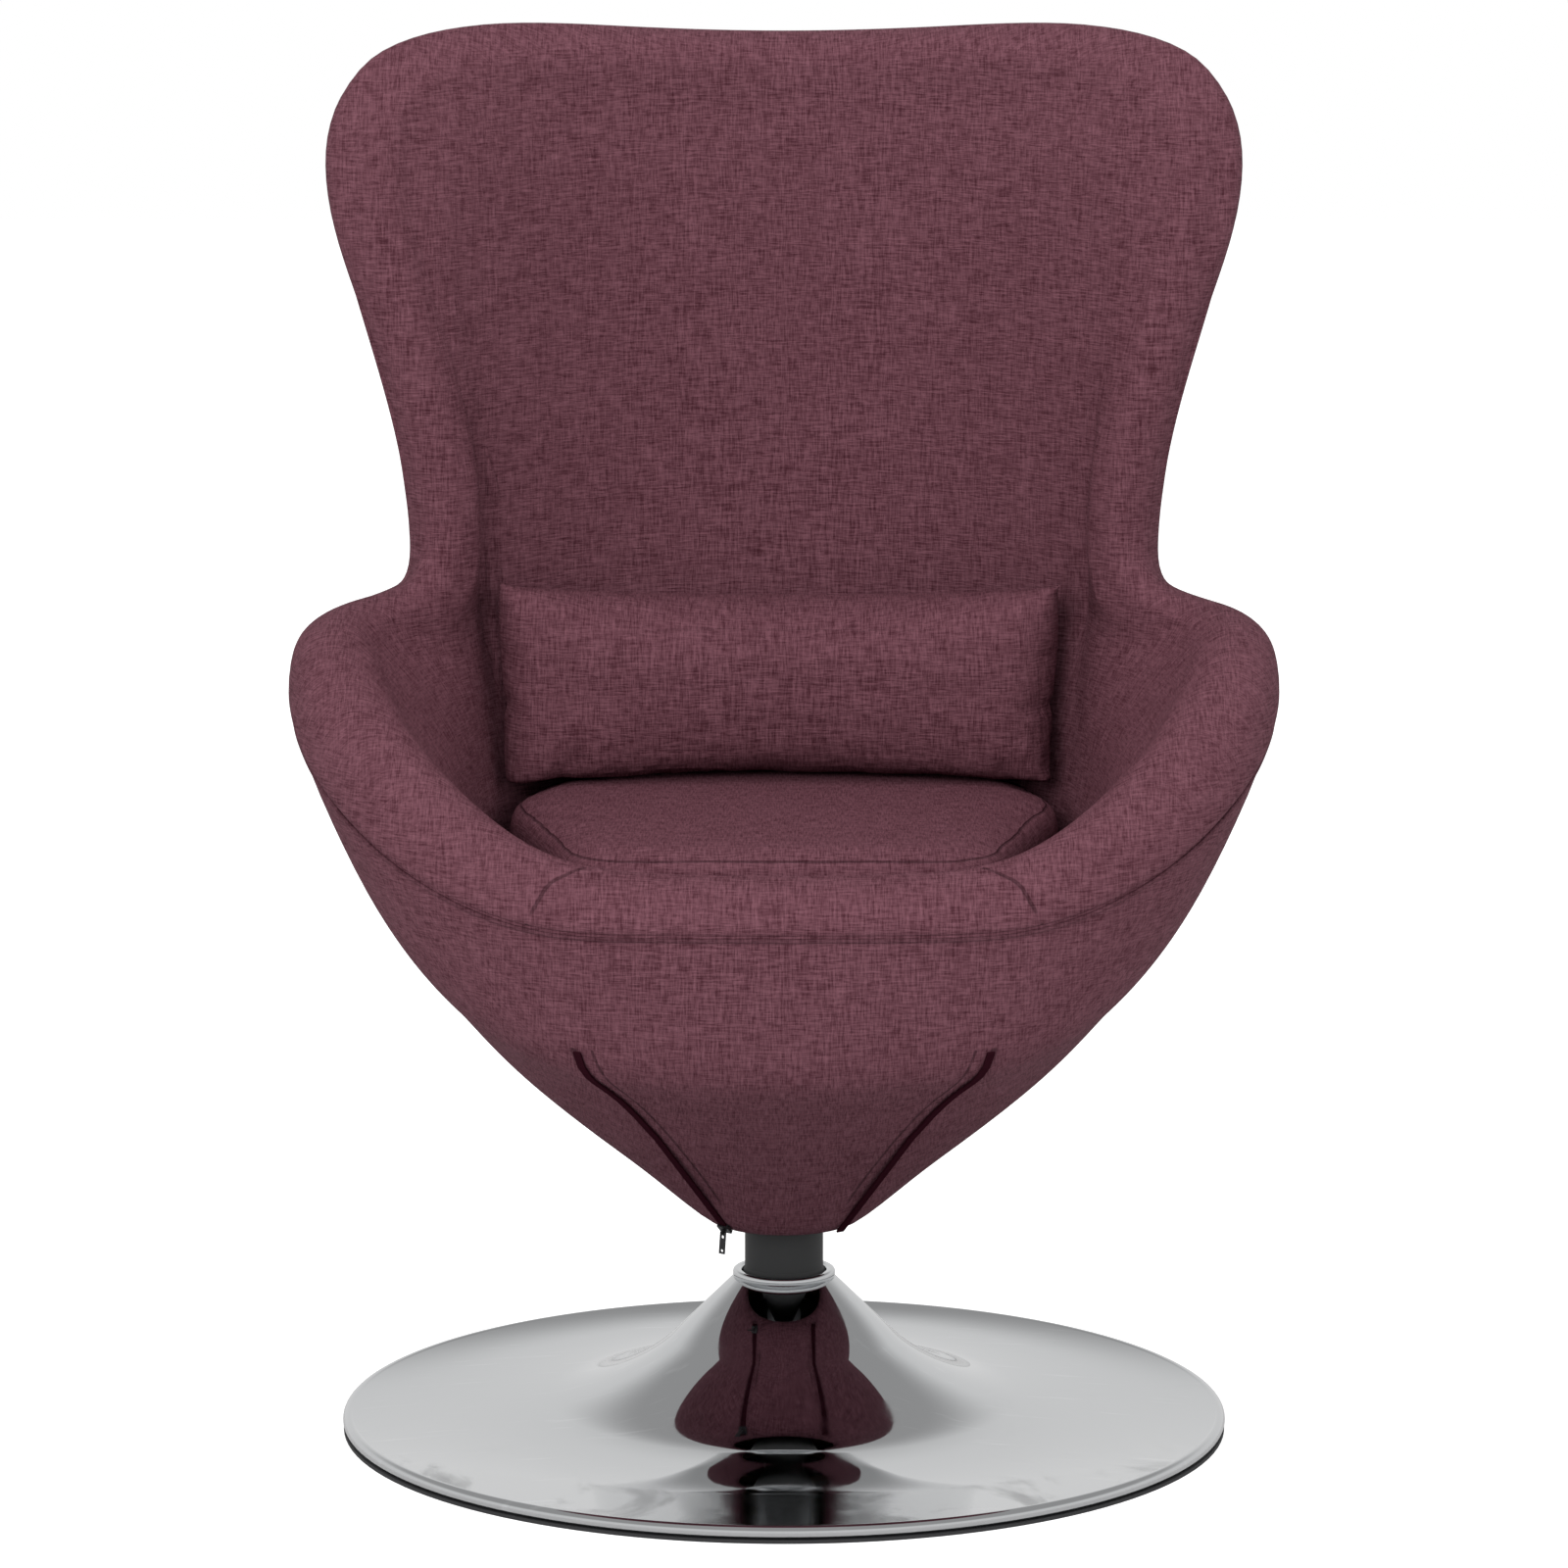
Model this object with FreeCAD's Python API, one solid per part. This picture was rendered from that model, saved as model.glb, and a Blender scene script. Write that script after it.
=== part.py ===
import FreeCAD, Part
import math
import os

V = FreeCAD.Vector
UP = V(0, 0, 1)

# Base: a spun steel disc that rises into a trumpet round the column
base_radius = 350.0
base_wall = 2.5
rim_bead_radius = 5.0
bead_start = 127.0
bead_end = -200.0
floor_ring_stand = 3.0
floor_ring_width = 9.0
disc_edge_height = 12.0
disc_slope = 0.075
trumpet_top_radius = 39.5
trumpet_top_height = 119.5
trumpet_bend_run = 60.0
collar_height = 6.0
collar_outer_radius = 40.5

# Column, bushes and spindle
ballast_radius = 198.0
ballast_thickness = 4.0
ballast_hole_count = 3
ballast_hole_radius = 30.0
ballast_hole_circle = 115.0
column_radius = 25.0
column_wall = 3.0
column_top = 286.0
spindle_radius = 14.0
spindle_end = 34.0
bush_length = 32.0
lower_bush_height = 45.0
bush_flange = 3.0
thrust_washer_thickness = 4.0
mount_flange_radius = 46.0
mount_flange_thickness = 8.0
sleeve_radius = 31.0
sleeve_wall = 2.2
sleeve_lip = 1.3
sleeve_lip_height = 5.0
sleeve_bottom = 122.5
circlip_radius = 18.0
circlip_thickness = 1.6
circlip_groove = 1.4

# Seat plate, bolts, frame and the board that the seat rests on
plate_side = 180.0
plate_thickness = 5.0
plate_corner = 18.0
bolt_pitch = 120.0
bolt_radius = 4.0
bolt_head_height = 5.3
bolt_head_width = 13.0
washer_radius = 9.0
washer_thickness = 1.6
tee_nut_radius = 11.0
tee_nut_flange = 1.5
tee_nut_barrel_radius = 5.4
tee_nut_barrel = 9.0
rail_height = 20.0
rail_width = 25.0
rail_wall = 1.5
board_thickness = 12.0
board_inset = 13.0
ring_bar = 16.0
ring_side = 203.0
ring_front = 228.0
ring_back = 195.0

# Fits
running_fit = 0.05
seat_gap = 0.3
hole_clearance = 0.4
collar_clearance = 0.8

# Shell layers, measured inwards from the outer face of the cover
cover_thickness = 10.0
frame_gap = 3.4
pad_gap = 4.6
frame_bar = 16.0
seam_gap = 1.3

# Frame bars inside the shell: how far up the shell they sit, from 0 at the hem to 1 at the rim
rim_bar_level = 0.86
rib_foot_level = 0.19
rib_stations = [3.0, 6.5, 9.5, 12.5, 15.0, 17.0, 19.5, 22.5, 25.5, 29.0]
back_rail_levels = [0.50, 0.66]
back_rail_stations = [12.5, 15.0, 17.0, 19.5]

# Seat cushion and lumbar pillow
cushion_thickness = 96.0
cushion_corners = [(158, -235), (220, 30), (182, 184)]
cushion_radii = [58.0, 150.0, 115.0]
cushion_middle = -27.0
cushion_levels = [(0.0, 0.93), (0.15, 0.99), (0.8, 1.0), (0.95, 0.97), (1.0, 0.88)]
pillow_width = 440.0
pillow_height = 156.0
pillow_draw = 6.0
pillow_thickness = 130.0
pillow_end_thickness = 20.0
pillow_roundness = 0.75
pillow_sections = 14
pillow_bend = 50.0
pillow_centre = (-2.0, 148.8)
pillow_middle_rise = 75.45
pillow_lean = 7.0

# Right-hand zip in the lower front of the cover: foot, end of its straight run, then the bend
zip_straight = [(3.3, 0.0), (1.98, 0.28)]
zip_bend = [(1.98, 0.28), (1.87, 0.4), (1.78, 0.54), (1.7, 0.7), (1.65, 0.84)]
zip_bend_facets = 3
zip_rise = 1.0
zip_chain_width = 6.0
zip_chain_thickness = 1.6
slider_start = 2.0
slider_length = 11.0
slider_wall = 1.2
slider_clearance = 0.4
bridge_length = 6.0
bridge_height = 4.0
pin_radius = 0.6
pull_length = 17.0
pull_width = 5.0
pull_thickness = 1.2
pull_window = 4.5
pull_hole_radius = 1.1

# Angle of each station round the column, from the middle of the front to the middle of the back
station_angles = [0, 16, 30, 43, 55, 67, 79, 91, 101, 109, 117, 125, 133, 142, 153, 166, 180]

# Middle of the padded rim: lip, arm, corner, wing and top edge, right half
rim_points = [
    (0, -290, 450), (95, -289, 451), (170, -282, 456), (238, -252, 482), (300, -194, 527),
    (341, -116, 574), (353, -30, 605), (342, 48, 614), (272, 104, 634), (266, 113, 690),
    (275, 113, 780), (306, 104, 885), (336, 104, 985), (326, 128, 1049), (245, 195, 1068),
    (115, 262, 1056), (0, 278, 1052)]

# Half thickness of the padded rim at the same stations
rim_halves = [37, 37, 38, 40, 40, 39, 37, 34, 30, 29, 29, 29, 30, 30, 30, 30, 30]

# Middle of the shell a hand's width below the rim
sheet_points = [
    (0, -292, 372), (105, -290, 374), (185, -268, 385), (243, -226, 412), (288, -165, 450),
    (315, -85, 482), (322, -5, 502), (310, 72, 525), (284, 138, 562), (262, 184, 640),
    (268, 197, 760), (288, 192, 870), (300, 200, 950), (265, 238, 985), (190, 288, 985),
    (98, 318, 975), (0, 328, 975)]

# Lining that the sitter leans on, level with the points above
lining_points = [
    (0, -243, 430), (95, -243, 431), (150, -238, 436), (205, -195, 462), (240, -140, 500),
    (262, -75, 540), (268, -5, 562), (260, 60, 578), (248, 112, 602), (246, 158, 660),
    (245, 172, 770), (250, 175, 875), (258, 178, 960), (228, 205, 1000), (160, 236, 1005),
    (80, 248, 1000), (0, 252, 1000)]

# Hoops round the lower body: half width, reach to the front, to the back, height front and back, and
# roundness front and back, from 1 for an ellipse down to 0 for square corners
hem_hoop = (60, 60, 60, 166, 166, 1.0, 1.0)
cone_hoop = (126, 130, 132, 222, 222, 1.0, 0.95)
belly_hoop = (229, 228, 254, 292, 300, 1.0, 0.9)
waist_fullness = 26.0

# Hoop of the lining round the cushion, laid out like the hoops above
well_hoop = (237, 242, 208, 418, 470, 0.55, 0.82)

# Level hoops of the deck under the cushion and of the underside of the lining: half width, front, back,
# roundness front and back
deck_size = (226, 240, 200, 0.55, 0.82)
hip_size = (206, 242, 198, 1.0, 1.0)
pan_size = (190, 215, 184, 1.0, 1.0)
hip_rise = 9.7
pad_foot_front = 0.62
pad_foot_back = 0.3
deck_height = 405.0

# Facets of the shell and of the bars in it
facets_round = 64
facets_up = 12
pad_facets_up = 18
pad_back_facets_up = 10
bar_facets_round = 64
bend_facets = 3
bead_facets = 5
collar_facets = 2
cushion_facets = 6
pillow_facets = 20
rib_facets = 11
rail_facets = 4

# Heights of the stack that carries the seat
flange_bottom = column_top + bush_flange + thrust_washer_thickness
plate_bottom = flange_bottom + mount_flange_thickness
rail_bottom = plate_bottom + plate_thickness
board_bottom = rail_bottom + rail_height
board_top = board_bottom + board_thickness
pan_height = board_top + seat_gap
hip_height = pan_height + hip_rise
cushion_foot = deck_height + seat_gap


def mirrored(row):
    """Close a right-hand half row of points into a hoop."""
    left = [V(-p.x, p.y, p.z) for p in row[-2:0:-1]]
    return row + left


def points(table):
    return mirrored([V(*entry) for entry in table])


def hoop(size):
    """An egg-shaped hoop round the column with one point per station."""
    side, front, back, front_height, back_height, front_roundness, back_roundness = size
    row = []
    for angle in station_angles:
        forward = math.cos(math.radians(angle))
        across = abs(math.sin(math.radians(angle)))
        height = front_height + (back_height - front_height) * (1 - forward) / 2
        if forward > 0:
            row.append(V(side * across ** front_roundness, -front * forward ** front_roundness, height))
        else:
            row.append(V(side * across ** back_roundness, back * (-forward) ** back_roundness, height))
    return mirrored(row)


def blend(row_a, row_b, share):
    return [a * (1 - share) + b * share for a, b in zip(row_a, row_b)]


def evened(row):
    """A hoop with each point drawn towards its neighbours."""
    return [p * 0.5 + (row[i - 1] + row[(i + 1) % len(row)]) * 0.25 for i, p in enumerate(row)]


def shifted(row, directions, distances):
    return [p + d * s for p, d, s in zip(row, directions, distances)]


def directions(row, row_below):
    """Up along the sheet and outwards from it, at each point of a hoop."""
    ups = []
    outs = []
    for i, p in enumerate(row):
        along = row[(i + 1) % len(row)] - row[i - 1]
        along.normalize()
        up = p - row_below[i]
        up = up - along * along.dot(up)
        up.normalize()
        ups.append(up)
        outs.append(along.cross(up))
    return ups, outs


def surface_through(hoops, depth=0.0):
    """Places a depth below the smooth surface through a stack of hoops, by station and level."""
    count = len(hoops)
    stations = len(hoops[0])
    degree = min(3, count - 1)
    poles = [[row[i] for row in hoops] for i in range(stations)]
    ends = [degree + 1] + [1] * (count - degree - 1) + [degree + 1]
    surface = Part.BSplineSurface()
    surface.buildFromPolesMultsKnots(
        poles, [1] * (stations + 1), ends, list(range(stations + 1)),
        list(range(count - degree + 1)), True, False, 3, degree)
    top = count - degree

    def spot(station, level):
        place = ((station - 1) % stations, top * level)
        if not depth:
            return surface.value(*place)
        return surface.value(*place) - surface.normal(*place) * depth
    return spot


def surface_rows(hoops, levels, around, depth=0.0):
    """Closed rows of points a depth below the surface through a stack of hoops."""
    spot = surface_through(hoops, depth)
    stations = len(hoops[0])
    return [[spot(stations * i / around, level) for i in range(around)] for level in levels]


def steps(count, first=0.0, last=1.0):
    return [first + (last - first) * i / count for i in range(count + 1)]


def triangle(a, b, c):
    return Part.Face(Part.makePolygon([a, b, c, a]))


def band(row_a, row_b):
    """Flat facets between two closed rows of points."""
    faces = []
    for i in range(len(row_a)):
        j = (i + 1) % len(row_a)
        faces.append(triangle(row_a[i], row_a[j], row_b[i]))
        faces.append(triangle(row_a[j], row_b[j], row_b[i]))
    return faces


def faceted(rows, closed):
    """A solid with flat facets between closed rows: a ring if closed, else with flat ends."""
    faces = []
    for row_a, row_b in zip(rows, rows[1:]):
        faces += band(row_a, row_b)
    if closed:
        faces += band(rows[-1], rows[0])
    else:
        for end in (rows[0], rows[-1]):
            faces.append(Part.Face(Part.makePolygon(end + [end[0]])))
    shell = Part.Compound(faces)
    shell.sewShape()
    solid = Part.Solid(shell.Shells[0])
    if solid.Volume < 0:
        solid.reverse()
    return solid


rim = points(rim_points)
sheet = points(sheet_points)
lining = points(lining_points)
rim_half = [float(h) for h in rim_halves + rim_halves[-2:0:-1]]
hem = hoop(hem_hoop)
cone = hoop(cone_hoop)
belly = hoop(belly_hoop)
waist_line = evened(evened(blend(belly, sheet, 0.5)))
rim_up, rim_out = directions(rim, sheet)
sheet_out = directions(sheet, waist_line)[1]
waist_out = directions(waist_line, belly)[1]

# Hoops of the outer face of the cover; every layer of the shell lies a set depth below it
shell_hoops = [
    hem, cone, belly, shifted(waist_line, waist_out, [waist_fullness] * len(hem)),
    shifted(sheet, sheet_out, [0.9 * h for h in rim_half]), shifted(rim, rim_out, rim_half)]
bar_depth = cover_thickness + frame_gap
pad_depth = bar_depth + frame_bar + pad_gap


def level_hoop(size, height, grow=0.0):
    side, front, back, front_roundness, back_roundness = size
    return hoop((side + grow, front + grow, back + grow, height, height, front_roundness, back_roundness))


def outline(size, height, grow, around):
    """A level row of points round the column."""
    return surface_rows([level_hoop(size, height, grow)] * 2, [0.0], around)[0]


def make_outer_cover():
    """Upholstered outer skin, from the hem round the column up to the seam along the rim."""
    outer = surface_rows(shell_hoops, steps(facets_up), facets_round)
    inner = surface_rows(shell_hoops, steps(facets_up), facets_round, cover_thickness)
    return faceted(outer + inner[::-1], True)


def falling_rows(depth, front_level, back_level):
    """Rows down a layer of the shell from the rim, ending at one level in front and another behind."""
    spot = surface_through(shell_hoops, depth)
    stations = len(rim)
    rows = []
    for share in steps(pad_back_facets_up):
        row = []
        for i in range(facets_round):
            behind = (1 - math.cos(2 * math.pi * i / facets_round)) / 2
            last = front_level + (back_level - front_level) * behind
            row.append(spot(stations * i / facets_round, 1 + (last - 1) * share))
        rows.append(row)
    return rows


def make_inner_pad():
    """Moulded foam lining with its rolled rim, and the flat deck under the cushion."""
    roll = [shifted(shell_hoops[-1], rim_up, [seam_gap] * len(rim))]
    for across, up in ((1.0, 0.75), (0.0, 1.4), (-1.0, 0.75), (-1.05, 0.0)):
        row = shifted(rim, rim_out, [across * h for h in rim_half])
        roll.append(shifted(row, rim_up, [up * h for h in rim_half]))
    well = hoop(well_hoop)
    front = roll + [lining, blend(lining, well, 0.45), well, level_hoop(deck_size, deck_height)]
    front_rows = surface_rows(front, steps(pad_facets_up), facets_round)
    rear_rows = falling_rows(pad_depth, pad_foot_front, pad_foot_back)
    seam = surface_rows(shell_hoops, [1.0], facets_round)[0]
    rear_rows[0] = [p + above - below for p, above, below in zip(rear_rows[0], front_rows[0], seam)]
    rear_rows.append(outline(hip_size, hip_height, 0.0, facets_round))
    rear_rows.append(outline(pan_size, pan_height, 0.0, facets_round))
    return faceted(front_rows[::-1] + rear_rows, False)


def square_bar(places, closed):
    """A square bar through places on the shell, each a station and a level up the shell."""
    middle = surface_through(shell_hoops, bar_depth + frame_bar / 2)
    inner = surface_through(shell_hoops, bar_depth + frame_bar)
    spots = [middle(*place) for place in places]
    rows = []
    for i, (place, spot) in enumerate(zip(places, spots)):
        before = spots[i - 1] if closed or i > 0 else spot
        after = spots[(i + 1) % len(spots)] if closed or i + 1 < len(spots) else spot
        along = (after - before).normalize()
        inwards = inner(*place) - spot
        inwards = (inwards - along * along.dot(inwards)).normalize() * (frame_bar / 2)
        across = along.cross(inwards)
        rows.append([spot + across + inwards, spot + across - inwards,
                     spot - across - inwards, spot - across + inwards])
    return faceted(rows, closed)


def make_rim_bar():
    """Square bar bent into one loop that follows the rim inside the shell."""
    stations = [len(rim) * i / bar_facets_round for i in range(bar_facets_round)]
    return square_bar([(station, rim_bar_level) for station in stations], True)


def prism(size, bottom, height, grow=0.0):
    """A block inside an egg-shaped outline round the column."""
    row = outline(size, bottom, grow, bar_facets_round)
    return Part.Face(Part.makePolygon(row + [row[0]])).extrude(V(0, 0, height))


ring_size = (ring_side, ring_front, ring_back, 1.0, 1.0)


def make_seat_ring():
    outer = prism(ring_size, rail_bottom, rail_height)
    return outer.cut(prism(ring_size, rail_bottom, rail_height, -ring_bar))


def rib_at(station):
    levels = steps(rib_facets, rib_foot_level, rim_bar_level)
    return square_bar([(station, level) for level in levels], False)


def make_ribs(rim_bar):
    """Bars that rise from the seat ring to the rim bar."""
    ring_block = prism(ring_size, rail_bottom, rail_height)
    low_block = prism(ring_size, 0, rail_bottom, ring_bar * 2)
    ribs = []
    for station in rib_stations:
        bar = rib_at(station).cut(rim_bar).cut(ring_block).cut(low_block)
        ribs.append(max(bar.Solids, key=lambda solid: solid.Volume))
    return Part.Compound(ribs)


def make_back_rails(ribs):
    """Short bars between the ribs of the back."""
    rails = []
    for level in back_rail_levels:
        for first, last in zip(back_rail_stations, back_rail_stations[1:]):
            bar = square_bar([(station, level) for station in steps(rail_facets, first, last)], False)
            bar = bar.cut(ribs)
            rails.append(max(bar.Solids, key=lambda solid: solid.Volume))
    return Part.Compound(rails)


def disc_height(radius):
    """Height of the disc's top face outside the trumpet."""
    return disc_edge_height + (base_radius - rim_bead_radius - radius) * disc_slope


def disc_underside(radius):
    return disc_height(radius) - base_wall * math.sqrt(1 + disc_slope ** 2)


def turned(outline):
    """A solid turned round the column from a closed outline of radii and heights."""
    corners = [V(r, 0, z) for r, z in outline]
    return Part.Face(Part.makePolygon(corners + [corners[0]])).revolve(V(0, 0, 0), UP, 360)


def tangent_arc(start, corner, end):
    """Arc that leaves start and arrives at end along the lines to their shared corner."""
    to_start = (start - corner).normalize()
    to_end = (end - corner).normalize()
    half_angle = to_start.getAngle(to_end) / 2
    run = (start - corner).Length
    inward = (to_start + to_end).normalize()
    depth = run / math.cos(half_angle) - run * math.tan(half_angle)
    return Part.Arc(start, corner + inward * depth, end).toShape()


def arc_points(start, corner, end, count):
    spots = tangent_arc(start, corner, end).discretize(count + 1)
    if (spots[0] - start).Length > (spots[-1] - start).Length:
        spots.reverse()
    return spots


def bend(start, corner, end, count):
    """Radii and heights along a tangent arc in the X-Z plane."""
    return [(p.x, p.z) for p in arc_points(start, corner, end, count)]


def crossing(p, along_p, q, along_q):
    """Where two lines in the X-Z plane cross."""
    across = along_p.x * along_q.z - along_p.z * along_q.x
    run = ((q.x - p.x) * along_q.z - (q.z - p.z) * along_q.x) / across
    return p + along_p * run


def ring_between(inner_radius, outer_radius, bottom, top):
    return turned([(inner_radius, bottom), (outer_radius, bottom), (outer_radius, top), (inner_radius, top)])


bead_circle = base_radius - rim_bead_radius
bead_height = floor_ring_stand + rim_bead_radius


def make_base_disc():
    """Spun disc: flange round the column, trumpet, gentle dish and a rolled bead at the edge."""
    hole = column_radius + seat_gap
    steep = V(-1, 0, 1).normalize()
    gentle = V(1, 0, -disc_slope).normalize()
    top = V(trumpet_top_radius, 0, trumpet_top_height)
    edge = V(bead_circle, 0, disc_edge_height)
    corner = crossing(top, steep, edge, gentle)
    under_top = top + V(-1, 0, -1).normalize() * base_wall
    under_edge = edge + V(-disc_slope, 0, -1).normalize() * base_wall
    under_corner = crossing(under_top, steep, under_edge, gentle)
    run = trumpet_bend_run
    flange_under = trumpet_top_height - base_wall
    flange_meet = crossing(under_top, steep, V(hole, 0, flange_under), V(1, 0, 0))
    bead = []
    for angle in steps(bead_facets, bead_start, bead_end):
        turn = math.radians(angle)
        bead.append((bead_circle + rim_bead_radius * math.cos(turn),
                     bead_height + rim_bead_radius * math.sin(turn)))
    return turned(
        [(hole, trumpet_top_height), (top.x, top.z)]
        + bend(corner + steep * run, corner, corner + gentle * run, bend_facets)
        + bead
        + bend(under_corner + gentle * run, under_corner, under_corner + steep * run, bend_facets)
        + [(flange_meet.x, flange_under), (hole, flange_under)])


def make_floor_ring():
    """Soft plastic ring under the bead."""
    half = floor_ring_width / 2
    return ring_between(bead_circle - half, bead_circle + half, 0, floor_ring_stand - seat_gap)


def make_collar_ring():
    """Round-topped trim ring that lies on the trumpet and guards the foot of the sleeve."""
    inner = sleeve_radius + sleeve_lip + collar_clearance
    outer = collar_outer_radius
    foot = trumpet_top_height
    top = foot + collar_height
    turn = collar_height / 2
    return turned(
        [(inner, foot), (outer, foot)]
        + bend(V(outer, 0, top - turn), V(outer, 0, top), V(outer - turn, 0, top), collar_facets)
        + bend(V(inner + turn, 0, top), V(inner, 0, top), V(inner, 0, top - turn), collar_facets))


ballast_top = disc_underside(ballast_radius) - seat_gap
column_bore = column_radius - column_wall


def make_ballast_plate():
    plate = ring_between(column_bore - 2 * column_wall / 3, ballast_radius,
                         ballast_top - ballast_thickness, ballast_top)
    for i in range(ballast_hole_count):
        angle = 2 * math.pi * i / ballast_hole_count
        place = V(ballast_hole_circle * math.cos(angle), ballast_hole_circle * math.sin(angle), 0)
        plate = plate.cut(Part.makeCylinder(ballast_hole_radius, ballast_top, place))
    return plate


def make_column_tube():
    return ring_between(column_bore, column_radius, ballast_top, column_top)


def make_lower_bush():
    return ring_between(spindle_radius + running_fit, column_bore - running_fit,
                        lower_bush_height, lower_bush_height + bush_length)


def make_upper_bush():
    bore = spindle_radius + running_fit
    barrel = column_bore - running_fit
    foot = column_top - bush_length
    top = column_top + bush_flange
    return turned([(bore, foot), (barrel, foot), (barrel, column_top), (column_radius, column_top),
                   (column_radius, top), (bore, top)])


def make_thrust_washer():
    foot = column_top + bush_flange
    return ring_between(spindle_radius + seat_gap, column_radius, foot, flange_bottom - running_fit)


circlip_top = lower_bush_height - 2 * seat_gap


def make_spindle():
    """Turned shaft with a groove for the circlip and a welded flange under the seat plate."""
    neck = spindle_radius - circlip_groove
    groove_top = circlip_top + running_fit
    groove_foot = circlip_top - circlip_thickness - running_fit
    return turned([
        (0, spindle_end), (spindle_radius, spindle_end), (spindle_radius, groove_foot),
        (neck, groove_foot), (neck, groove_top), (spindle_radius, groove_top),
        (spindle_radius, flange_bottom), (mount_flange_radius, flange_bottom),
        (mount_flange_radius, plate_bottom), (0, plate_bottom)])


def make_circlip():
    """Open spring ring in the groove of the spindle."""
    inner = spindle_radius - circlip_groove + running_fit
    foot = circlip_top - circlip_thickness
    ring = ring_between(inner, circlip_radius, foot, circlip_top)
    mouth = Part.makeBox(circlip_radius, inner, circlip_thickness, V(0, -inner / 2, foot))
    return ring.cut(mouth)


def make_column_sleeve():
    """Black sleeve that hangs under the seat flange and hides the column, flared at its foot."""
    bore = sleeve_radius - sleeve_wall
    lip = sleeve_radius + sleeve_lip
    lip_top = sleeve_bottom + sleeve_lip_height
    return turned([
        (bore, sleeve_bottom), (lip, sleeve_bottom), (lip, sleeve_bottom + sleeve_lip),
        (sleeve_radius, lip_top), (sleeve_radius, flange_bottom), (bore, flange_bottom)])


half_pitch = bolt_pitch / 2
bolt_places = [(x, y) for x in (-half_pitch, half_pitch) for y in (-half_pitch, half_pitch)]
bolt_hole = bolt_radius + hole_clearance


def holes_at_bolts(radius, bottom, height):
    return Part.Compound([Part.makeCylinder(radius, height, V(x, y, bottom)) for x, y in bolt_places])


def make_seat_plate():
    half = plate_side / 2
    block = Part.makeBox(plate_side, plate_side, plate_thickness, V(-half, -half, plate_bottom))
    upright = [e for e in block.Edges if abs(e.tangentAt(e.FirstParameter).z) > 0.99]
    block = block.makeFillet(plate_corner, upright)
    return block.cut(holes_at_bolts(bolt_hole, plate_bottom, plate_thickness))


def make_cross_rails():
    """Two square tubes under the board, welded into the seat ring."""
    length = 2 * ring_side
    room = prism(ring_size, rail_bottom, rail_height, -ring_bar)
    rails = []
    for y in (-half_pitch, half_pitch):
        corner = V(-ring_side, y - rail_width / 2, rail_bottom)
        outside = Part.makeBox(length, rail_width, rail_height, corner)
        inside = Part.makeBox(length, rail_width - 2 * rail_wall, rail_height - 2 * rail_wall,
                              corner + V(0, rail_wall, rail_wall))
        tube = outside.cut(inside).cut(holes_at_bolts(bolt_hole, rail_bottom, rail_height))
        rails.append(tube.common(room))
    return Part.Compound([solid for rail in rails for solid in rail.Solids])


def make_seat_board():
    """Plywood board on the rails, bored for the tee nuts."""
    board = prism(ring_size, board_bottom, board_thickness, -board_inset)
    board = board.cut(holes_at_bolts(bolt_hole, board_bottom, board_thickness))
    barrel_foot = board_top - tee_nut_flange - tee_nut_barrel - seat_gap
    board = board.cut(holes_at_bolts(tee_nut_barrel_radius + running_fit, barrel_foot, board_thickness))
    recess_foot = board_top - tee_nut_flange
    return board.cut(holes_at_bolts(tee_nut_radius + running_fit, recess_foot, board_thickness))


def make_tee_nuts():
    nuts = []
    height = tee_nut_barrel + tee_nut_flange
    for x, y in bolt_places:
        foot = V(x, y, board_top - height)
        flange = Part.makeCylinder(tee_nut_radius, tee_nut_flange, foot + UP * tee_nut_barrel)
        barrel = Part.makeCylinder(tee_nut_barrel_radius, height, foot)
        bore = Part.makeCylinder(bolt_radius + running_fit, height, foot)
        nuts.append(flange.fuse(barrel).cut(bore).removeSplitter())
    return Part.Compound(nuts)


def make_plate_washers():
    washers = []
    for x, y in bolt_places:
        place = V(x, y, plate_bottom - washer_thickness)
        washer = Part.makeCylinder(washer_radius, washer_thickness, place)
        washers.append(washer.cut(Part.makeCylinder(bolt_hole, washer_thickness, place)))
    return Part.Compound(washers)


def make_plate_bolts():
    """Hexagon bolts from below, through plate and rails into the tee nuts."""
    bolts = []
    shank_foot = plate_bottom - washer_thickness
    shank_length = board_top - tee_nut_flange - shank_foot
    reach = V(bolt_head_width / math.sqrt(3), 0, -bolt_head_height)
    for x, y in bolt_places:
        place = V(x, y, shank_foot)
        ring = [place + FreeCAD.Rotation(UP, angle).multVec(reach) for angle in range(0, 361, 60)]
        head = Part.Face(Part.makePolygon(ring)).extrude(V(0, 0, bolt_head_height))
        shank = Part.makeCylinder(bolt_radius, shank_length, place)
        bolts.append(head.fuse(shank))
    return Part.Compound(bolts)


def rounded_row(corners, radii, height):
    """Closed level row of points with rounded corners."""
    row = []
    count = len(corners)
    for i, (x, y) in enumerate(corners):
        corner = V(x, y, height)
        before = V(corners[i - 1][0], corners[i - 1][1], height)
        after = V(corners[(i + 1) % count][0], corners[(i + 1) % count][1], height)
        to_before = (before - corner).normalize()
        to_after = (after - corner).normalize()
        run = radii[i] / math.tan(to_before.getAngle(to_after) / 2)
        row += arc_points(corner + to_before * run, corner, corner + to_after * run, cushion_facets)
    return row


def make_seat_cushion():
    """Box cushion with drawn-in sides and a slightly crowned top."""
    rows = []
    for share, scale in cushion_levels:
        right = [(x * scale, cushion_middle + (y - cushion_middle) * scale) for x, y in cushion_corners]
        left = [(-x, y) for x, y in right[::-1]]
        radii = [r * scale for r in cushion_radii]
        rows.append(rounded_row(right + left, radii + radii[::-1], cushion_foot + share * cushion_thickness))
    return faceted(rows, False)


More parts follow.
